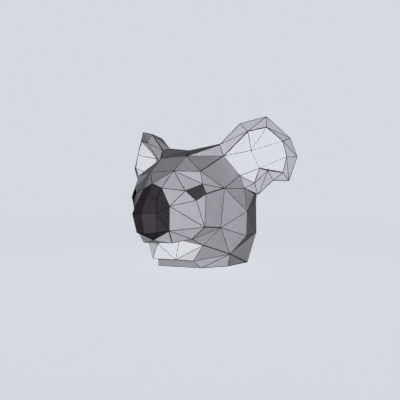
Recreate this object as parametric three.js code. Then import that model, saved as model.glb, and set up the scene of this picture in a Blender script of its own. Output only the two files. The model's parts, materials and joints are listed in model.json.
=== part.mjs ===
// A koala head mask folded from card, resting on its neck rim.
// Millimetres, +Z up. The face looks along -Y, and the mask's own left is +X.
// The origin is on the rim plane, in the middle of the head's width and depth.

import * as THREE from 'three';

// Sizes of the card and its seams
const CARD_THICKNESS = 1;
const SEAM_GAP = 0.3;

// Sizes of the head, over the folds
const HEAD_WIDTH = 292;
const HEAD_DEPTH = 420;
const HEAD_HEIGHT = 308;
const COLLAR_HEIGHT = 18;

// Sizes of the nose, and how high its lowest corner is over the rim
const NOSE_WIDTH = 96;
const NOSE_HEIGHT = 125;
const NOSE_DEPTH = 48;
const NOSE_FOOT = 68.5;

// Sizes of one eye opening: its slant is how far its outer side lies behind its inner corner
const EYE_WIDTH = 36;
const EYE_HEIGHT = 37;
const EYE_SLANT = 30;

// Sizes of one ear, from the corner where its top leaves the head: its lean is how far
// the outermost corner lies behind that one
const EAR_REACH = 166.5;
const EAR_HEIGHT = 193;
const EAR_LEAN = 99;
const EAR_THICKNESS = 34;
const EAR_DOME_HEIGHT = 12;

// Finishes of the three cards
const GREY_CARD = { color: 0xb4b3b7, roughness: 0.85, metalness: 0 };
const WHITE_CARD = { color: 0xe9eaee, roughness: 0.8, metalness: 0 };
const DARK_CARD = { color: 0x3b3237, roughness: 0.8, metalness: 0 };

// A corner is a place where folds meet. Each table gives its corners on the left half as shares
// of the named sizes: out from the middle, back from the nose tip, up from the neck rim.
const HEAD = { out: HEAD_WIDTH / 2, back: HEAD_DEPTH, up: HEAD_HEIGHT };
const COLLAR = { out: HEAD_WIDTH / 2, back: HEAD_DEPTH, up: COLLAR_HEIGHT };
const NOSE = { out: NOSE_WIDTH / 2, back: NOSE_DEPTH, up: NOSE_HEIGHT };
const EYE = { out: EYE_WIDTH, back: EYE_SLANT, up: EYE_HEIGHT };
const EAR = { out: EAR_REACH, back: EAR_LEAN, up: EAR_HEIGHT };

const noseRows = [
  { corner: 'noseTop', out: 0, back: 0.885, up: 1 },
  { corner: 'noseRidge', out: 0, back: 0.338, up: 0.7 },
  { corner: 'noseTip', out: 0, back: 0, up: 0.467 },
  { corner: 'noseLip', out: 0, back: 0.26, up: 0.122 },
  { corner: 'noseFoot', out: 0, back: 0.993, up: 0 },
  { corner: 'wingTop', out: 0.495, back: 0.915, up: 0.916 },
  { corner: 'wingSide', out: 0.952, back: 0.858, up: 0.592 },
  { corner: 'wingFoot', out: 0.875, back: 0.969, up: 0.166 },
  { corner: 'ridgeTop', out: 0.48, back: 0.602, up: 0.724 },
  { corner: 'ridgeSide', out: 0.653, back: 0.311, up: 0.468 },
  { corner: 'ridgeFoot', out: 0.548, back: 0.509, up: 0.138 },
];

const browRows = [
  { corner: 'browInner', out: 0.219, back: 0.193, up: 0.729 },
  { corner: 'browTop', out: 0.24, back: 0.3145, up: 0.859 },
  { corner: 'browOuter', out: 0.587, back: 0.261, up: 0.723 },
  { corner: 'temple', out: 0.84, back: 0.374, up: 0.606 },
  { corner: 'eyeInner', out: 0.456, back: 0.176, up: 0.575 },
];

const eyeRows = [
  { corner: 'eyeTop', out: 0.745, back: 1, up: 0.44 },
  { corner: 'eyeOuter', out: 1, back: 1, up: -0.17 },
  { corner: 'eyeFoot', out: 0.551, back: 0.46, up: -0.568 },
];

const muzzleRows = [
  { corner: 'cheekFront', out: 0.636, back: 0.274, up: 0.315 },
  { corner: 'cheekSide', out: 0.745, back: 0.392, up: 0.311 },
  { corner: 'muzzleSide', out: 0.467, back: 0.243, up: 0.228 },
  { corner: 'lipSide', out: 0.263, back: 0.157, up: 0.2 },
  { corner: 'lipMiddle', out: 0, back: 0.156, up: 0.198 },
  { corner: 'mouthCorner', out: 0.293, back: 0.209, up: 0.225 },
  { corner: 'jawFront', out: 0.515, back: 0.336, up: 0.179 },
];

const collarRows = [
  { corner: 'chinCorner', out: 0.212, back: 0.218, up: 1.32 },
  { corner: 'collarFront', out: 0.341, back: 0.336, up: 1 },
  { corner: 'jawSide', out: 0.67, back: 0.571, up: 1.633 },
  { corner: 'rimFront', out: 0.408, back: 0.376, up: 0 },
  { corner: 'rimSide', out: 0.661, back: 0.545, up: 0 },
  { corner: 'rimBack', out: 0.664, back: 0.839, up: 0 },
  { corner: 'rimEnd', out: 0, back: 0.935, up: 0 },
];

const sideRows = [
  { corner: 'sideHigh', out: 1, back: 0.564, up: 0.437 },
  { corner: 'sideLow', out: 0.957, back: 0.586, up: 0.244 },
  { corner: 'napeHigh', out: 0.767, back: 0.921, up: 0.547 },
  { corner: 'napeLow', out: 0.767, back: 0.922, up: 0.262 },
];

const crownRows = [
  { corner: 'crown', out: 0, back: 0.5, up: 0.949 },
  { corner: 'crownBack', out: 0, back: 0.714, up: 0.967 },
  { corner: 'napeTop', out: 0, back: 0.89, up: 0.78 },
  { corner: 'nape', out: 0, back: 1, up: 0.486 },
  { corner: 'napeFoot', out: 0, back: 0.982, up: 0.233 },
];

const earRootRows = [
  { corner: 'rootTop', out: 0.574, back: 0.506, up: 0.975 },
  { corner: 'rootFront', out: 0.647, back: 0.498, up: 0.88 },
  { corner: 'rootLow', out: 0.883, back: 0.554, up: 0.7215 },
  { corner: 'rootFoot', out: 0.954, back: 0.558, up: 0.618 },
  { corner: 'rootUnder', out: 0.983, back: 0.757, up: 0.658 },
  { corner: 'rootRear', out: 0.74, back: 0.757, up: 0.851 },
  { corner: 'rootBack', out: 0.532, back: 0.571, up: 1 },
];

const earEdgeRows = [
  { corner: 'edge1', out: 0.281, back: 0.19, up: 0.267 },
  { corner: 'edge2', out: 0.621, back: 0.542, up: 0.36 },
  { corner: 'edge3', out: 0.905, back: 0.952, up: 0.093 },
  { corner: 'edge4', out: 1, back: 1, up: -0.156 },
  { corner: 'edge5', out: 0.868, back: 0.984, up: -0.465 },
  { corner: 'edge6', out: 0.652, back: 0.855, up: -0.455 },
  { corner: 'edge7', out: 0.487, back: 0.498, up: -0.645 },
];

const earDomeRows = [
  { corner: 'dome1', edge: 'edge1', size: 0.9 },
  { corner: 'dome2', edge: 'edge2', size: 0.82 },
  { corner: 'dome3', edge: 'edge3', size: 0.88 },
  { corner: 'dome4', edge: 'edge4', size: 0.8 },
  { corner: 'dome5', edge: 'edge5', size: 0.86 },
  { corner: 'dome6', edge: 'edge6', size: 0.78 },
];

const earCupRows = [
  { corner: 'cup1', out: 0.4, back: 0.216, up: 0.154 },
  { corner: 'cup2', out: 0.629, back: 0.5, up: 0.213 },
  { corner: 'cup3', out: 0.825, back: 0.75, up: 0.041 },
  { corner: 'cup4', out: 0.875, back: 0.794, up: -0.163 },
  { corner: 'cup5', out: 0.799, back: 0.863, up: -0.356 },
  { corner: 'cup6', out: 0.593, back: 0.746, up: -0.327 },
  { corner: 'cup7', out: 0.476, back: 0.661, up: -0.296 },
  { corner: 'cup8', out: 0.44, back: 0.457, up: -0.494 },
  { corner: 'cupDeep', out: 0.357, back: 0.602, up: -0.059 },
];

// Panels, as the corners that each one runs round, seen from outside. The left half is listed;
// a name with ~ is the same corner on the right half.
const panels = {
  nose: [
    'noseTop noseRidge ridgeTop wingTop',
    'noseRidge noseTip ridgeSide ridgeTop',
    'noseTip noseLip ridgeFoot ridgeSide',
    'noseLip noseFoot ridgeFoot',
    'noseFoot wingFoot ridgeFoot',
    'wingTop ridgeTop wingSide',
    'ridgeTop ridgeSide wingSide',
    'ridgeSide wingFoot wingSide',
    'ridgeSide ridgeFoot wingFoot',
  ],
  bridge: [
    'noseTop wingTop browInner',
    'wingTop eyeInner browInner',
  ],
  brow: [
    'browInner eyeInner eyeTop',
    'browInner eyeTop browOuter',
    'browOuter eyeTop temple',
    'eyeTop eyeOuter temple',
  ],
  muzzle: [
    'eyeOuter cheekFront cheekSide temple',
    'wingTop wingSide eyeInner',
    'wingSide eyeFoot eyeInner',
    'wingSide cheekFront eyeFoot',
    'eyeFoot cheekFront eyeOuter',
    'wingSide wingFoot cheekFront',
    'wingFoot muzzleSide cheekFront',
    'wingFoot lipSide muzzleSide',
  ],
  lip: [
    'noseFoot lipSide wingFoot',
    'noseFoot lipMiddle lipSide',
    'lipMiddle mouthCorner lipSide',
    'lipSide mouthCorner muzzleSide',
    'muzzleSide mouthCorner jawFront',
  ],
  forehead: [
    'browTop browInner browOuter',
    'browTop browOuter rootFront',
    'browTop rootFront rootTop',
  ],
  crown: [
    'browTop rootTop crown',
    'crown rootTop rootBack',
    'crown rootBack crownBack',
    'crownBack rootBack rootRear',
    'crownBack rootRear napeTop',
  ],
  cheek: [
    'browOuter temple rootLow rootFront',
    'temple rootFoot rootLow',
    'temple sideHigh rootFoot',
    'temple cheekSide sideHigh',
    'rootFoot sideHigh rootUnder',
    'cheekSide sideLow sideHigh',
    'cheekSide jawSide sideLow',
    'cheekFront muzzleSide cheekSide',
    'muzzleSide jawFront cheekSide',
    'cheekSide jawFront jawSide',
  ],
  chin: [
    'lipMiddle chinCorner mouthCorner',
    'mouthCorner chinCorner jawFront',
    'chinCorner collarFront jawFront',
  ],
  neckBand: [
    'jawFront collarFront jawSide',
    'collarFront rimFront jawSide',
    'rimFront rimSide jawSide',
    'jawSide rimSide rimBack',
  ],
  nape: [
    'jawSide napeLow sideLow',
    'jawSide rimBack napeLow',
    'sideLow napeLow sideHigh',
    'sideHigh napeLow napeHigh',
    'sideHigh napeHigh rootUnder',
    'rootUnder napeHigh rootRear',
    'rootRear napeHigh napeTop',
    'napeTop napeHigh nape',
    'napeHigh napeLow nape',
    'nape napeLow napeFoot',
    'napeLow rimBack napeFoot',
    'napeFoot rimBack rimEnd',
  ],
  earCup: [
    'rootFront cupDeep cup1',
    'cup1 cupDeep cup2',
    'cup2 cupDeep cup3',
    'cup3 cupDeep cup7 cup4',
    'cup4 cup7 cup5',
    'rootFront rootLow cup7 cupDeep',
    'rootLow cup8 cup7',
  ],
  earRim: [
    'rootTop rootFront cup1',
    'rootTop cup1 edge1',
    'edge1 cup1 edge2',
    'cup1 cup2 edge2',
    'edge2 cup2 edge3',
    'cup2 cup3 edge3',
    'cup3 edge4 edge3',
    'cup3 cup4 edge4',
    'cup4 edge5 edge4',
    'cup4 cup5 edge5',
    'cup5 edge6 edge5',
    'cup5 cup6 edge6',
    'cup6 edge7 edge6',
    'cup6 cup8 edge7',
    'cup8 rootFoot edge7',
    'cup8 rootLow rootFoot',
    'cup7 cup8 cup6',
    'cup5 cup7 cup6',
  ],
  earSide: [
    'rootTop edge1 rootBack',
    'edge1 dome1 rootBack',
    'edge1 edge2 dome1',
    'edge2 dome2 dome1',
    'edge2 edge3 dome2',
    'edge3 dome3 dome2',
    'edge3 edge4 dome3',
    'edge4 dome4 dome3',
    'edge4 edge5 dome4',
    'edge5 dome5 dome4',
    'edge5 edge6 dome5',
    'edge6 dome6 dome5',
    'edge6 edge7 dome6',
    'edge7 rootUnder dome6',
    'edge7 rootFoot rootUnder',
  ],
  earBack: [
    'rootBack dome1 rootRear',
    'rootRear dome1 domeTop',
    'dome1 dome2 domeTop',
    'dome2 dome3 domeTop',
    'dome3 dome4 domeTop',
    'dome4 dome5 domeTop',
    'dome5 dome6 domeTop',
    'dome6 rootUnder domeTop',
    'rootUnder rootRear domeTop',
  ],
};

// Panels that lie across the middle
const middlePanels = {
  bridge: ['noseTop browInner browInner~'],
  forehead: ['browInner browTop browTop~ browInner~'],
  crown: ['browTop crown browTop~'],
  chin: ['lipMiddle chinCorner~ chinCorner'],
  neckBand: ['chinCorner chinCorner~ collarFront~ collarFront', 'collarFront collarFront~ rimFront~ rimFront'],
};

// Places of the corners, left half first
const corners = new Map();

function placeCorners(rows, size, origin = new THREE.Vector3(0, -HEAD_DEPTH / 2, 0)) {
  for (const row of rows) {
    const step = new THREE.Vector3(row.out * size.out, row.back * size.back, row.up * size.up);
    corners.set(row.corner, origin.clone().add(step));
  }
}

placeCorners(noseRows, NOSE, new THREE.Vector3(0, -HEAD_DEPTH / 2, NOSE_FOOT));
placeCorners([...browRows, ...muzzleRows, ...sideRows, ...crownRows, ...earRootRows], HEAD);
placeCorners(collarRows, COLLAR);
placeCorners(eyeRows, EYE, corners.get('eyeInner'));
placeCorners([...earEdgeRows, ...earCupRows], EAR, corners.get('rootTop'));

// The back of an ear follows its front edge, drawn in to a share of its size and set back along
// the ear's normal
const earBackward = new THREE.Vector3(-EAR_LEAN, EAR_REACH, 0).normalize();
const earMiddle = new THREE.Vector3();
for (const { corner } of earEdgeRows) earMiddle.addScaledVector(corners.get(corner), 1 / earEdgeRows.length);
for (const { corner, edge, size } of earDomeRows) {
  const drawnIn = earMiddle.clone().lerp(corners.get(edge), size);
  corners.set(corner, drawnIn.addScaledVector(earBackward, EAR_THICKNESS));
}
corners.set('domeTop', earMiddle.clone().addScaledVector(earBackward, EAR_THICKNESS + EAR_DOME_HEIGHT));

// A panel of four corners stays flat: its last corner is moved forward or back to meet the other three
const flatPanels = [
  'wingTop noseTop noseRidge ridgeTop',
  'ridgeTop noseRidge noseTip ridgeSide',
  'ridgeSide noseTip noseLip ridgeFoot',
  'temple cheekSide cheekFront eyeOuter',
  'browOuter temple rootLow rootFront',
  'rootFront rootLow cup7 cupDeep',
  'cupDeep cup7 cup3 cup4',
];

for (const names of flatPanels) {
  const [first, second, third, last] = names.split(' ').map((name) => corners.get(name));
  const plane = new THREE.Plane().setFromCoplanarPoints(first, second, third);
  last.y -= plane.distanceToPoint(last) / plane.normal.y;
}

for (const [name, place] of [...corners]) {
  if (place.x > 0) corners.set(`${name}~`, place.clone().setX(-place.x));
}

function mirrorName(name) {
  if (corners.get(name).x === 0) return name;
  return name.endsWith('~') ? name.slice(0, -1) : `${name}~`;
}

const readPanels = (list) => list.map((names) => names.split(' '));
const mirrorPanels = (list) => list.map(([first, ...rest]) => [first, ...rest.reverse()].map(mirrorName));

// Each piece of the mask with its panels and its card
const pieces = [];

function addMiddlePiece(name, key, card) {
  const left = readPanels(panels[key]);
  const across = readPanels(middlePanels[key] ?? []);
  pieces.push({ name, card, panels: [...left, ...mirrorPanels(left), ...across] });
}

function addPair(name, key, card) {
  const left = readPanels(panels[key]);
  pieces.push({ name: `${name}_left`, card, panels: left });
  pieces.push({ name: `${name}_right`, card, panels: mirrorPanels(left) });
}

addMiddlePiece('nose', 'nose', DARK_CARD);
addMiddlePiece('bridge', 'bridge', GREY_CARD);
addPair('brow', 'brow', GREY_CARD);
addPair('muzzle', 'muzzle', GREY_CARD);
addMiddlePiece('lip', 'lip', GREY_CARD);
addMiddlePiece('forehead', 'forehead', GREY_CARD);
addMiddlePiece('crown', 'crown', GREY_CARD);
addPair('cheek', 'cheek', GREY_CARD);
addMiddlePiece('chin', 'chin', WHITE_CARD);
addMiddlePiece('neck_band', 'neckBand', GREY_CARD);
addPair('nape', 'nape', GREY_CARD);
addPair('ear_cup', 'earCup', WHITE_CARD);
addPair('ear_rim', 'earRim', GREY_CARD);
addPair('ear_side', 'earSide', GREY_CARD);
addPair('ear_back', 'earBack', GREY_CARD);

function panelNormal(panel) {
  const [a, b, c] = panel.map((name) => corners.get(name));
  return new THREE.Triangle(a, b, c).getNormal(new THREE.Vector3());
}

// The shortest move that goes a set distance along each of the given directions, as nearly as it can
function solveMove(conditions) {
  const steadying = 1e-6;
  const matrix = new THREE.Matrix3().identity().multiplyScalar(steadying);
  const goal = new THREE.Vector3();
  for (const { direction, distance, weight = 1 } of conditions) {
    const [x, y, z] = direction.toArray();
    const outer = [x * x, x * y, x * z, y * x, y * y, y * z, z * x, z * y, z * z];
    outer.forEach((value, index) => { matrix.elements[index] += weight * value; });
    goal.addScaledVector(direction, weight * distance);
  }
  return goal.applyMatrix3(matrix.invert());
}

// Inner corners: one card thickness behind every panel that meets the corner
const allPanels = pieces.flatMap((piece) => piece.panels);
const onRim = (name) => name.startsWith('rim');

function innerMove(name) {
  const conditions = allPanels
    .filter((panel) => panel.includes(name))
    .map((panel) => ({ direction: panelNormal(panel), distance: -CARD_THICKNESS }));
  if (onRim(name)) {
    const rimWeight = 1e4;
    conditions.push({ direction: new THREE.Vector3(0, 0, 1), distance: 0, weight: rimWeight });
  }
  const move = solveMove(conditions);
  if (onRim(name)) move.z = 0;
  return move;
}

const innerMoves = new Map([...corners.keys()].map((name) => [name, innerMove(name)]));

function edgesOf(panel) {
  return panel.map((name, index) => [name, panel[(index + 1) % panel.length]]);
}

const edgeKey = ([from, to]) => `${from} ${to}`;
const reverseKey = ([from, to]) => `${to} ${from}`;
const allEdges = new Set(allPanels.flatMap(edgesOf).map(edgeKey));

// The outline of a piece: its edges that no other panel of the piece shares. At a seam the panel is
// trimmed back by half the gap; at the neck rim and the eyes it ends where the fold does.
function outlineOf(piece) {
  const own = new Set(piece.panels.flatMap(edgesOf).map(edgeKey));
  const outline = [];
  for (const panel of piece.panels) {
    const normal = panelNormal(panel);
    for (const edge of edgesOf(panel)) {
      if (own.has(reverseKey(edge))) continue;
      const [from, to] = edge.map((name) => corners.get(name));
      const inward = normal.clone().cross(to.clone().sub(from)).normalize();
      const isSeam = allEdges.has(reverseKey(edge));
      outline.push({ edge, inward, trim: isSeam ? SEAM_GAP / 2 : 0 });
    }
  }
  return outline;
}

function trimMove(name, outline) {
  const conditions = outline
    .filter(({ edge }) => edge.includes(name))
    .map(({ inward, trim }) => ({ direction: inward, distance: trim }));
  const move = solveMove(conditions);
  if (onRim(name)) move.z = 0;
  return move;
}

// A folded piece: its panels, the same panels turned over one card thickness behind them, and a
// narrow wall all round its outline
function foldedPiece(piece) {
  const outline = outlineOf(piece);
  const names = [...new Set(piece.panels.flat())];
  const outerIndex = new Map(names.map((name, index) => [name, index]));
  const innerIndex = new Map(names.map((name, index) => [name, names.length + index]));
  const outer = names.map((name) => corners.get(name).clone().add(trimMove(name, outline)));
  const inner = names.map((name, index) => outer[index].clone().add(innerMoves.get(name)));
  const triangles = [];
  for (const panel of piece.panels) {
    for (let corner = 1; corner < panel.length - 1; corner += 1) {
      const [a, b, c] = [panel[0], panel[corner], panel[corner + 1]];
      triangles.push([a, b, c].map((name) => outerIndex.get(name)));
      triangles.push([c, b, a].map((name) => innerIndex.get(name)));
    }
  }
  for (const { edge: [from, to] } of outline) {
    const wall = [outerIndex.get(to), outerIndex.get(from), innerIndex.get(from), innerIndex.get(to)];
    const [a, b, c, d] = wall;
    const halves = from < to ? [[a, b, d], [b, c, d]] : [[a, b, c], [a, c, d]];
    triangles.push(...halves);
  }
  const geometry = new THREE.BufferGeometry();
  const places = [...outer, ...inner].flatMap((place) => place.toArray());
  geometry.setAttribute('position', new THREE.Float32BufferAttribute(places, 3));
  geometry.setIndex(triangles.flat());
  geometry.computeVertexNormals();
  return geometry;
}

const mask = new THREE.Group();
for (const piece of pieces) {
  const material = new THREE.MeshStandardMaterial({ ...piece.card, flatShading: true });
  const mesh = new THREE.Mesh(foldedPiece(piece), material);
  mesh.name = piece.name;
  mask.add(mesh);
}

export default mask;
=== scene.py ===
# %% [markdown]
# # A koala mask folded from card
#
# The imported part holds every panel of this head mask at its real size. This script dresses it as
# folded card and lights it. Blender works in metres here, +Z is up, the face looks along -Y and
# the mask's own left is +X. Nothing is moved: each dressed piece lies where its solid lies.

# %% Load the folded head
import json
import math

import bmesh
import bpy
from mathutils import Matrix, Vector


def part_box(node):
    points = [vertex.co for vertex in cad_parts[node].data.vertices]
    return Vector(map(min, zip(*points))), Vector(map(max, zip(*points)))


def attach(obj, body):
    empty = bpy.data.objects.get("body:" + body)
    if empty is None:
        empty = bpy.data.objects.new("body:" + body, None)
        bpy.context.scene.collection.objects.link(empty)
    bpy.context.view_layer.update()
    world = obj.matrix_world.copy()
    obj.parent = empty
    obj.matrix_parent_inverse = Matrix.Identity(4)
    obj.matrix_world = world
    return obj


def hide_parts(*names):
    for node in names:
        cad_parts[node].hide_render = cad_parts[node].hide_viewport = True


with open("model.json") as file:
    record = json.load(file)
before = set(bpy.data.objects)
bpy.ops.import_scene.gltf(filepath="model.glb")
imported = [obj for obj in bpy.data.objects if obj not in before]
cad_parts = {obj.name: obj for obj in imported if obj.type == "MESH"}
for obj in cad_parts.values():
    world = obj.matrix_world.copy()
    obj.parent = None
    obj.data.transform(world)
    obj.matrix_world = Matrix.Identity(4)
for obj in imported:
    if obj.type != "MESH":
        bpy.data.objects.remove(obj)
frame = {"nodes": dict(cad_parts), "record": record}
scene = bpy.context.scene
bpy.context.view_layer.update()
print("pieces of card:", len(frame["nodes"]))

# %% [markdown]
# ## Where the camera stands
#
# The picture shows the head turned so that its left cheek faces us, seen from a little below the
# middle of the face. A camera that is aimed at a point inside the head, at a known distance and two
# angles, is easier to adjust than one placed by three coordinates. The lens and the small shift come
# from the size and the place of the head in the picture.

# %% Set up the camera
AIM = Vector((0, -0.010, 0.180))
CAMERA_DISTANCE = 1.080
CAMERA_TURN = math.radians(29.8)
CAMERA_RISE = math.radians(-3.77)
SENSOR_WIDTH = 36
LENS = 38.4
SHIFT_ACROSS = 0.031
SHIFT_UP = -0.0155


def toward(turn, rise):
    """Points from the head to a place that far round it, from the front towards +X, and that high."""
    level = math.cos(rise)
    return Vector((math.sin(turn) * level, -math.cos(turn) * level, math.sin(rise)))


camera_data = bpy.data.cameras.new("camera")
camera_data.sensor_width = SENSOR_WIDTH
camera_data.lens = LENS
camera_data.shift_x = SHIFT_ACROSS
camera_data.shift_y = SHIFT_UP
camera = bpy.data.objects.new("camera", camera_data)
scene.collection.objects.link(camera)
camera.location = AIM + toward(CAMERA_TURN, CAMERA_RISE) * CAMERA_DISTANCE
camera.rotation_mode = "QUATERNION"
camera.rotation_quaternion = (AIM - camera.location).to_track_quat("-Z", "Y")
scene.camera = camera
print("camera height over the floor:", round(camera.location.z, 3))

# %% [markdown]
# ## A pale floor
#
# The mask stands on a plain pale floor that runs out to a backdrop of the same tone, so no line
# crosses the picture. A sheet that sweeps up behind the mask would catch the lamps and show a pale
# band. A wide disc that glows faintly by itself, under a backdrop of the same tone, stays even.

# %% Lay the floor
FLOOR_RADIUS = 60.0
FLOOR_CORNERS = 96
PALE_TONE = (0.767, 0.788, 0.831)
FLOOR_DYE_SHARE = 0.9
FLOOR_SHARE_LIT = 0.0347


def pale(share):
    """That share of the pale tone."""
    return tuple(share * part for part in PALE_TONE) + (1,)


floor_mesh = bpy.data.meshes.new("floor")
bm = bmesh.new()
bmesh.ops.create_circle(bm, cap_ends=True, segments=FLOOR_CORNERS, radius=FLOOR_RADIUS)
bm.to_mesh(floor_mesh)
bm.free()
floor = bpy.data.objects.new("floor", floor_mesh)
scene.collection.objects.link(floor)
floor.visible_diffuse = False
floor.visible_glossy = False
floor.visible_shadow = False

floor_paper = bpy.data.materials.new("floor_paper")
floor_paper.use_nodes = True
floor_shader = floor_paper.node_tree.nodes["Principled BSDF"]
floor_shader.inputs["Base Color"].default_value = pale(FLOOR_DYE_SHARE)
floor_shader.inputs["Roughness"].default_value = 1.0
floor_shader.inputs["Specular IOR Level"].default_value = 0.0
floor_shader.inputs["Emission Color"].default_value = pale(1 - FLOOR_SHARE_LIT)
floor_shader.inputs["Emission Strength"].default_value = 1.0
floor.data.materials.append(floor_paper)
print("floor radius:", FLOOR_RADIUS)

# %% [markdown]
# ## Light from beside the camera
#
# In the picture each panel is as bright as it faces us: the muzzle is pale and the top of the head is
# dark. One distant lamp close to the line of sight gives that. Weaker lamps from behind and from the
# far side let the rest of the head be seen when we walk round it. One from below fills the shaded
# folds of the white card. Each of these shines only on its own group of pieces, so it can't wash out
# the panels that face the camera. A faint one from above shines on everything, the floor too.

# %% Hang the lamps
LAMPS = {
    "front_lamp": {"turn": 28.5, "rise": -4, "power": 3.43, "softness": 1.5, "lights": "front_card"},
    "back_lamp": {"turn": 209, "rise": 6, "power": 2.6, "softness": 10, "lights": "card"},
    "far_lamp": {"turn": -98, "rise": -8, "power": 1.2, "softness": 20, "lights": "far_side"},
    "white_lamp": {"turn": -20, "rise": -60, "power": 0.68, "softness": 20, "lights": "white_card"},
    "top_lamp": {"turn": 0, "rise": 89, "power": 0.05, "softness": 50, "lights": "everything"},
}
LIT_GROUPS = ("card", "front_card", "white_card", "behind_eye", "far_side")
FAR_SIDE = ("cheek_right", "nape_right", "neck_band", "ear_back_right", "ear_side_right")
lit = {group: bpy.data.collections.new(group + "_lit") for group in LIT_GROUPS}


def hang_lamp(name, turn, rise, power, softness, lights):
    """A distant lamp that shines on the head from that side. Softness is its width in degrees."""
    lamp_data = bpy.data.lights.new(name, "SUN")
    lamp_data.energy = power
    lamp_data.angle = math.radians(softness)
    lamp = bpy.data.objects.new(name, lamp_data)
    scene.collection.objects.link(lamp)
    from_head = toward(math.radians(turn), math.radians(rise))
    lamp.rotation_mode = "QUATERNION"
    lamp.rotation_quaternion = (-from_head).to_track_quat("-Z", "Y")
    lamp.location = AIM + from_head
    if lights in lit:
        lamp.light_linking.receiver_collection = lit[lights]
    return lamp


for lamp_name, settings in LAMPS.items():
    hang_lamp(lamp_name, **settings)
print("lamps:", ", ".join(LAMPS))

# %% [markdown]
# ## Light through the eye
#
# Through the open eye the picture shows the inside of the mask as an even dark grey. A distant lamp
# throws a patch through the hole that is smaller than the patch that the lens sees. A small lamp at
# the lens lights just what we look at. It shines only on the piece behind the eye, on its inside.

# %% Hang the lamp at the lens
BEHIND_EYE = "nape_right"
LENS_LAMP_POWER = 78
LENS_LAMP_RADIUS = 0.002

lens_lamp_data = bpy.data.lights.new("lens_lamp", "POINT")
lens_lamp_data.energy = LENS_LAMP_POWER
lens_lamp_data.shadow_soft_size = LENS_LAMP_RADIUS
lens_lamp = bpy.data.objects.new("lens_lamp", lens_lamp_data)
scene.collection.objects.link(lens_lamp)
lens_lamp.location = camera.location
lens_lamp.light_linking.receiver_collection = lit["behind_eye"]
print("lens lamp stands at:", [round(x, 3) for x in lens_lamp.location])

# %% [markdown]
# ## The room
#
# The room is dim where it lights the card and pale where the camera sees it. Two backgrounds do
# that, one for what the camera sees and one for everything else.

# %% Light the room
ROOM_POWER = 0.02

room = bpy.data.worlds.new("room")
room.use_nodes = True
room_tree = room.node_tree
dim = room_tree.nodes["Background"]
dim.inputs["Color"].default_value = pale(1)
dim.inputs["Strength"].default_value = ROOM_POWER
backdrop = room_tree.nodes.new("ShaderNodeBackground")
backdrop.inputs["Color"].default_value = pale(1)
rays = room_tree.nodes.new("ShaderNodeLightPath")
choose = room_tree.nodes.new("ShaderNodeMixShader")
room_tree.links.new(rays.outputs["Is Camera Ray"], choose.inputs["Fac"])
room_tree.links.new(dim.outputs["Background"], choose.inputs[1])
room_tree.links.new(backdrop.outputs["Background"], choose.inputs[2])
room_tree.links.new(choose.outputs["Shader"], room_tree.nodes["World Output"].inputs["Surface"])
scene.world = room
print("room power:", ROOM_POWER)

# %% [markdown]
# ## Contrast
#
# Matt card in the picture darkens faster than plain matt paint as it turns away from the light. A
# steeper tone curve gives that to every card at once, so the materials can keep true colours.
#
# The picture is a print, and a print has nothing brighter than its paper. White card that faces the
# light is as white as the page, however strongly it is lit. A curve for each colour that bends over
# just above the page's tone does the same.

# %% Set the tone curves
TONE_CURVE = 0.65
PAPER_WHITE = (0.795, 0.804, 0.842)
BEND_START = 0.985
BEND_END = 1.10

scene.view_settings.view_transform = "Standard"
scene.view_settings.gamma = TONE_CURVE
scene.view_settings.use_curve_mapping = True
curves = scene.view_settings.curve_mapping
for curve, white in zip(curves.curves, PAPER_WHITE):
    curve.points[1].location = (1, white)
    curve.points.new(white * BEND_START, white * BEND_START)
    curve.points.new(white * BEND_END, white)
    for point in curve.points:
        point.handle_type = "VECTOR"
curves.update()
print("tone curve:", TONE_CURVE)

# %% [markdown]
# ## Opening a piece of card
#
# Each solid is a folded sheet with a front, a back and a narrow cut edge all round. Its panels
# arrive as loose triangles. Joining the corners that coincide and dissolving the lines that lie flat
# gives back the real panels, so that every line left is a real fold.

# %% Get the panels back
JOIN_DISTANCE = 1e-5
FLAT_ANGLE = math.radians(0.35)
CUT_EDGE_WIDTH = 0.002
PANEL_NUMBER = "panel_number"


def open_panels(node):
    """The solid's mesh with one face for each flat panel."""
    bm = bmesh.new()
    bm.from_mesh(node.data)
    bmesh.ops.remove_doubles(bm, verts=bm.verts, dist=JOIN_DISTANCE)
    bmesh.ops.dissolve_limit(bm, angle_limit=FLAT_ANGLE, verts=bm.verts, edges=bm.edges)
    bm.faces.layers.int.new(PANEL_NUMBER)
    bm.faces.index_update()
    return bm


def width_of(face):
    """How wide a narrow face is. For a triangle it is the radius of the circle that fits in it."""
    return face.calc_area() / (face.calc_perimeter() / 2)


def sides_of(bm):
    """The panels in groups that are joined across folds: the sheet's two sides."""
    waiting = {face for face in bm.faces if width_of(face) > CUT_EDGE_WIDTH}
    groups = []
    for first in bm.faces:
        if first not in waiting:
            continue
        waiting.remove(first)
        group = [first]
        for face in group:
            near = {other for edge in face.edges for other in edge.link_faces} & waiting
            waiting -= near
            group.extend(near)
        groups.append(sorted(group, key=lambda face: face.index))
    return groups


nose_panels = open_panels(frame["nodes"]["nose"])
print("panels on each side of the nose:", [len(side) for side in sides_of(nose_panels)])
nose_panels.free()

# %% [markdown]
# ## Which side is the outside
#
# The outside of the card gets the pale face and the scored lines, the inside doesn't. A side is the
# outer one if its panels look away from the middle of what they wrap: the head, or one ear.

# %% Find the outside
EAR_SIDES = ("left", "right")


def middle_of(names):
    """The middle of the box round those nodes."""
    corners = [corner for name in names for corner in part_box(name)]
    spans = [(min(values), max(values)) for values in zip(*corners)]
    return Vector((low + high) / 2 for low, high in spans)


ear_middles = {}
for side in EAR_SIDES:
    ear_nodes = [name for name in frame["nodes"] if name.startswith("ear") and name.endswith(side)]
    ear_middles[side] = middle_of(ear_nodes)
head_middle = middle_of([name for name in frame["nodes"] if not name.startswith("ear")])
print("middle of the head:", [round(x, 3) for x in head_middle])


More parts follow.
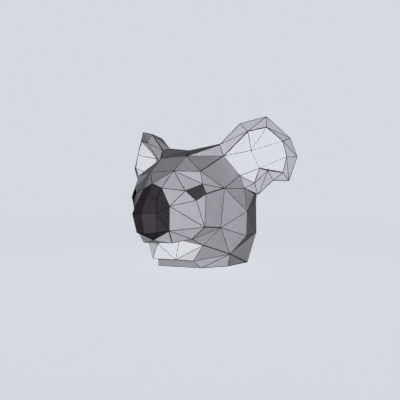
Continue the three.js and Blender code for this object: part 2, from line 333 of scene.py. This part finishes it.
def wrapped_middle(name):
    """The middle of what this piece wraps. An ear's cup is deep, so it is judged from the ear's back."""
    if name.startswith("ear_cup"):
        return middle_of([name.replace("cup", "back")])
    if name.startswith("ear"):
        return ear_middles[name.rsplit("_", 1)[1]]
    return head_middle


def outside_of(bm, middle):
    """The panels of the outer side."""
    def looks_away(side):
        return sum(f.calc_area() * f.normal.dot(f.calc_center_median() - middle) for f in side)

    return max(sides_of(bm), key=looks_away)


# %% [markdown]
# ## Scored lines
#
# Card is scored before it is folded, so each fold is a narrow crease and not a sharp edge. Its strip
# is coloured dark: partly a pencil line, partly painted shade for the crease.
# A bevel could round it, but where many folds meet at one corner a bevel leaves a knot of slivers.
# Insetting every panel by half the width of the line keeps the panels whole. The corners are then
# pressed in by a fraction of a millimetre.
#
# Where a piece ends at a sharp turn, or at the neck rim, its cut edge shows as a wider line. The
# narrow wall there leans by half of the turn, and that tells how sharp it is.

# %% Score the folds
CREASE_DEPTH = 0.00025
SHARP_FOLD = math.radians(50)
SHARP_LINE_SHARE = 2.4
FACES_DOWN = -0.9


def border_of(face):
    """The panel's sides, each as a point on it and the direction into the panel."""
    corners = [vert.co.copy() for vert in face.verts]
    sides = []
    for start, end in zip(corners, corners[1:] + corners[:1]):
        inward = face.normal.cross(end - start).normalized()
        sides.append((start, inward))
    return sides


def is_sharp_border(edge):
    """Whether the piece ends here at a sharp turn or at the neck rim."""
    walls = [face for face in edge.link_faces if width_of(face) <= CUT_EDGE_WIDTH]
    if not walls:
        return False
    return edge.calc_face_angle() > (math.pi + SHARP_FOLD) / 2 or walls[0].normal.z < FACES_DOWN


def widen(face, extras):
    """Moves the panel's sides inwards, each by its own distance."""
    corners = list(face.verts)
    inward = [side[1] for side in border_of(face)]
    moves = []
    for index in range(len(corners)):
        first, second = inward[index - 1], inward[index]
        near, far = extras[index - 1], extras[index]
        lean = first.dot(second)
        spread = 1 - lean * lean
        moves.append((first * (near - lean * far) + second * (far - lean * near)) / spread)
    for vert, move in zip(corners, moves):
        vert.co += move


def score_folds(bm, outside, line_width):
    """Leaves a narrow strip along each panel's border and presses the corners in. Gives the strips."""
    corners = {vert for face in outside for vert in face.verts}
    corner_normals = {vert: Vector() for vert in corners}
    for face in outside:
        for vert in face.verts:
            corner_normals[vert] += face.normal
    extra = line_width / 2 * (SHARP_LINE_SHARE - 1)
    extras = [[extra * is_sharp_border(loop.edge) for loop in face.loops] for face in outside]
    inset = bmesh.ops.inset_individual(bm, faces=outside, thickness=line_width / 2, use_even_offset=True)
    for face, face_extras in zip(outside, extras):
        if any(face_extras):
            widen(face, face_extras)
    for vert, normal in corner_normals.items():
        vert.co -= normal.normalized() * CREASE_DEPTH
    return inset["faces"]


print("lines at sharp borders are wider by:", SHARP_LINE_SHARE)

# %% [markdown]
# ## Panels that are not quite flat
#
# A panel of real card springs a little: its middle stands a few tenths of a millimetre in or out,
# and the light slides across it. Noise in the material could tilt the shading, but the outline would
# stay dead straight. Here each panel is divided finely and really bowed. The bow is zero along the
# folds, so the panels still meet.

# %% Bow the panels
BOW_HEIGHT = 0.00035
BOW_FULL_WIDTH = 0.016
BOW_CUTS = 7
BOW_EVEN_SHARE = 0.45
SWAY_WAVES = Vector((311, 173, 229))


def nearness(place, sides):
    """The product of the distances to all sides of a panel: zero on its border."""
    result = 1.0
    for start, inward in sides:
        result *= max((place - start).dot(inward), 0.0)
    return result


def bow_of(face):
    """How far this panel's middle stands out or in."""
    sway = math.sin(SWAY_WAVES.dot(face.calc_center_median()))
    share = BOW_EVEN_SHARE + (1 - BOW_EVEN_SHARE) * sway
    return BOW_HEIGHT * min(width_of(face) / BOW_FULL_WIDTH, 1) * share


def bow_panels(bm, outside):
    """Divides the panels and bows them. Gives the small faces."""
    mark = bm.faces.layers.int[PANEL_NUMBER]
    plans = []
    for number, face in enumerate(outside, start=1):
        sides = border_of(face)
        middle = face.calc_center_median()
        plans.append((face.normal.copy(), sides, nearness(middle, sides), bow_of(face)))
        face[mark] = number
    bmesh.ops.triangulate(bm, faces=outside)
    fine = [face for face in bm.faces if face[mark]]
    edges = list(dict.fromkeys(edge for face in fine for edge in face.edges))
    bmesh.ops.subdivide_edges(bm, edges=edges, cuts=BOW_CUTS, use_grid_fill=True)
    fine = [face for face in bm.faces if face[mark]]
    moves = {}
    for face in fine:
        normal, sides, full, height = plans[face[mark] - 1]
        for vert in face.verts:
            moves[vert] = normal * (height * nearness(vert.co, sides) / full)
    for vert, move in moves.items():
        vert.co += move
    return fine


print("highest bow, in millimetres:", BOW_HEIGHT * 1000)

# %% [markdown]
# ## Dressing a piece
#
# Every piece goes through the same steps: open it, find its outside, score it and bow it. The four
# parts of its surface are told apart by the order of its materials.

# %% Dress one piece
# The second material, the scored line, is dark partly as a pencil line and partly as painted shade.
# The third material, the inside, is one dark grey that is painted shade.
CARD_FACE, SCORED_LINE_AND_SHADE, INSIDE_PAINTED_SHADE, CUT_EDGE = range(4)


def dress(name, finishes, line_width):
    """A folded piece of card that stands for the node."""
    bm = open_panels(frame["nodes"][name])
    outside = outside_of(bm, wrapped_middle(name))
    painted_shade_inside = {face for side in sides_of(bm) for face in side} - set(outside)
    for face in bm.faces:
        face.material_index = INSIDE_PAINTED_SHADE if face in painted_shade_inside else CUT_EDGE
        face.smooth = False
    for face in score_folds(bm, outside, line_width):
        face.material_index = SCORED_LINE_AND_SHADE
    for face in outside:
        face.material_index = CARD_FACE
    for face in bow_panels(bm, outside):
        face.smooth = True
    mesh = bpy.data.meshes.new(name)
    bm.to_mesh(mesh)
    bm.free()
    for finish in finishes:
        mesh.materials.append(finish)
    piece = bpy.data.objects.new("folded_" + name, mesh)
    scene.collection.objects.link(piece)
    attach(piece, "root")
    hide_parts(name)
    return piece


# %% [markdown]
# ## The card
#
# The real card is uncoated: matt, a little cloudy, with fine fibres that show only when the light
# rakes across. Three layers of noise give the clouds, the fibres and the felt of the surface. They
# move the colour by a few percent and the roughness by a little more.

# %% Mix a card finish
NOISES = {
    "cloud": {"scale": 45, "detail": 3, "roughness": 0.6},
    "fibre": {"scale": 700, "detail": 5, "roughness": 0.7},
    "felt": {"scale": 220, "detail": 4, "roughness": 0.55},
}
CLOUD_RANGE = (0.35, 0.65)
FINE_RANGE = (0.3, 0.7)
SMOOTHER = 0.05
ROUGHER = 0.06
SHINE = 0.35
BUMP_STRENGTH = 0.35


def add_node(tree, kind, **settings):
    """A new node with its plain settings."""
    node = tree.nodes.new(kind)
    for key, value in settings.items():
        setattr(node, key, value)
    return node


def add_noise(tree, place, scale, detail, roughness):
    """A noise over the piece, in places measured in metres."""
    noise = add_node(tree, "ShaderNodeTexNoise")
    noise.inputs["Scale"].default_value = scale
    noise.inputs["Detail"].default_value = detail
    noise.inputs["Roughness"].default_value = roughness
    tree.links.new(place, noise.inputs["Vector"])
    return noise.outputs["Fac"]


def add_range(tree, value, low, high, to_low, to_high):
    """Stretches a value from one range to another."""
    stretch = add_node(tree, "ShaderNodeMapRange")
    tree.links.new(value, stretch.inputs["Value"])
    for socket, number in zip(("From Min", "From Max", "To Min", "To Max"), (low, high, to_low, to_high)):
        stretch.inputs[socket].default_value = number
    return stretch.outputs["Result"]


def add_blend(tree, amount, first, second, kind="MIX"):
    """Blends two colours. Each is a colour or the output of a node."""
    blend = add_node(tree, "ShaderNodeMix", data_type="RGBA", blend_type=kind)
    for socket, value in (("Factor", amount), ("A", first), ("B", second)):
        named = [entry for entry in blend.inputs if entry.name == socket]
        entry = next(entry for entry in named if (entry.type == "RGBA") == (socket != "Factor"))
        if hasattr(value, "is_output"):
            tree.links.new(value, entry)
        else:
            entry.default_value = value
    return next(o for o in blend.outputs if o.type == "RGBA")


def grey_tone(brightness, tint=(1, 1, 1)):
    """A colour of that brightness with a slight tint."""
    return tuple(brightness * part for part in tint) + (1,)


COOL = (0.98, 0.98, 1.052)
CLEAN = (0.985, 0.99, 1.03)
PLUM = (1.04, 0.93, 1.10)


def card_finish(name, tone, cloud_depth, fibre_depth, relief, roughness):
    """Matt card. The depths are shares of the tone, and relief is the height of its fibres in metres."""
    finish = bpy.data.materials.new(name)
    finish.use_nodes = True
    tree = finish.node_tree
    shader = tree.nodes["Principled BSDF"]
    place = add_node(tree, "ShaderNodeTexCoord").outputs["Object"]
    cloud, fibre, felt = (add_noise(tree, place, **settings) for settings in NOISES.values())
    darker = tuple(part * (1 - cloud_depth) for part in tone[:3]) + (1,)
    clouded = add_blend(tree, add_range(tree, cloud, *CLOUD_RANGE, 0, 1), darker, tone)
    speck = add_range(tree, fibre, *FINE_RANGE, 1 - fibre_depth, 1 + fibre_depth)
    speck_tone = add_node(tree, "ShaderNodeCombineColor")
    for channel in ("Red", "Green", "Blue"):
        tree.links.new(speck, speck_tone.inputs[channel])
    coloured = add_blend(tree, 1.0, clouded, speck_tone.outputs["Color"], kind="MULTIPLY")
    tree.links.new(coloured, shader.inputs["Base Color"])
    rough = add_range(tree, felt, *FINE_RANGE, roughness - SMOOTHER, roughness + ROUGHER)
    tree.links.new(rough, shader.inputs["Roughness"])
    shader.inputs["Specular IOR Level"].default_value = SHINE
    heights = add_node(tree, "ShaderNodeMath", operation="ADD")
    tree.links.new(fibre, heights.inputs[0])
    tree.links.new(felt, heights.inputs[1])
    bump = add_node(tree, "ShaderNodeBump")
    bump.inputs["Strength"].default_value = BUMP_STRENGTH
    bump.inputs["Distance"].default_value = relief
    tree.links.new(heights.outputs["Value"], bump.inputs["Height"])
    tree.links.new(bump.outputs["Normal"], shader.inputs["Normal"])
    return finish


# %% [markdown]
# ## Finishes for the three cards
#
# Grey card for the head, white for the chin and the ear cups, brown-black for the nose. Each has its
# outer face, its scored line, its inside and its cut edge. The inside of all three cards is one dark
# grey, painted shade, as dark as the picture shows it through the eye. A scored line is darker than
# its card: partly the pencil line it was scored along, partly painted shade for the crease.

# %% Make the finishes
# The inside tone is painted shade: the same dark grey on all three cards, even the white one.
CARDS = {
    "grey_card": {"tint": COOL, "face": 0.60, "line_and_painted_shade": 0.055, "painted_shade_inside": 0.13, "edge": 0.22, "matt": 0.80},
    "white_card": {"tint": CLEAN, "face": 0.84, "line_and_painted_shade": 0.09, "painted_shade_inside": 0.13, "edge": 0.45, "matt": 0.75},
    "dark_card": {"tint": PLUM, "face": 0.120, "line_and_painted_shade": 0.017, "painted_shade_inside": 0.13, "edge": 0.02, "matt": 0.58},
}
# The line tones above are partly a pencil line and partly painted shade in the crease.
LINE_WIDTHS = {"grey_card": 0.0011, "white_card": 0.0013, "dark_card": 0.0010}
PARTS = {
    "face": {"cloud_depth": 0.05, "fibre_depth": 0.05, "relief": 0.00012},
    "line_and_painted_shade": {"cloud_depth": 0.25, "fibre_depth": 0.15, "relief": 0.00008},
    "painted_shade_inside": {"cloud_depth": 0.10, "fibre_depth": 0.06, "relief": 0.00012},
    "edge": {"cloud_depth": 0.15, "fibre_depth": 0.20, "relief": 0.00012},
}
finishes = {}
for card, tones in CARDS.items():
    finishes[card] = []
    for part, depths in PARTS.items():
        tone = grey_tone(tones[part], tones["tint"])
        finishes[card].append(card_finish(f"{card}_{part}", tone, roughness=tones["matt"], **depths))
print("finishes:", ", ".join(material.name for card in finishes.values() for material in card))

# %% [markdown]
# ## All the pieces
#
# The record says which card each piece is made of. The loop dresses the pieces one by one and puts
# each in the groups that the lamps shine on.

# %% Fold the pieces
card_of = {row["node"]: row["material_slot"] for row in frame["record"]["subparts"]}
folded = {}


def groups_of(name, card):
    """The lit groups that the node's piece belongs to."""
    groups = ["card", "behind_eye" if name == BEHIND_EYE else "front_card"]
    if name in FAR_SIDE:
        groups.append("far_side")
    if card in lit:
        groups.append(card)
    return groups


for name in sorted(frame["nodes"]):
    card = card_of[name]
    folded[name] = dress(name, finishes[card], LINE_WIDTHS[card])
    for group in groups_of(name, card):
        lit[group].objects.link(folded[name])
print("faces in each piece:", {name: len(piece.data.polygons) for name, piece in folded.items()})
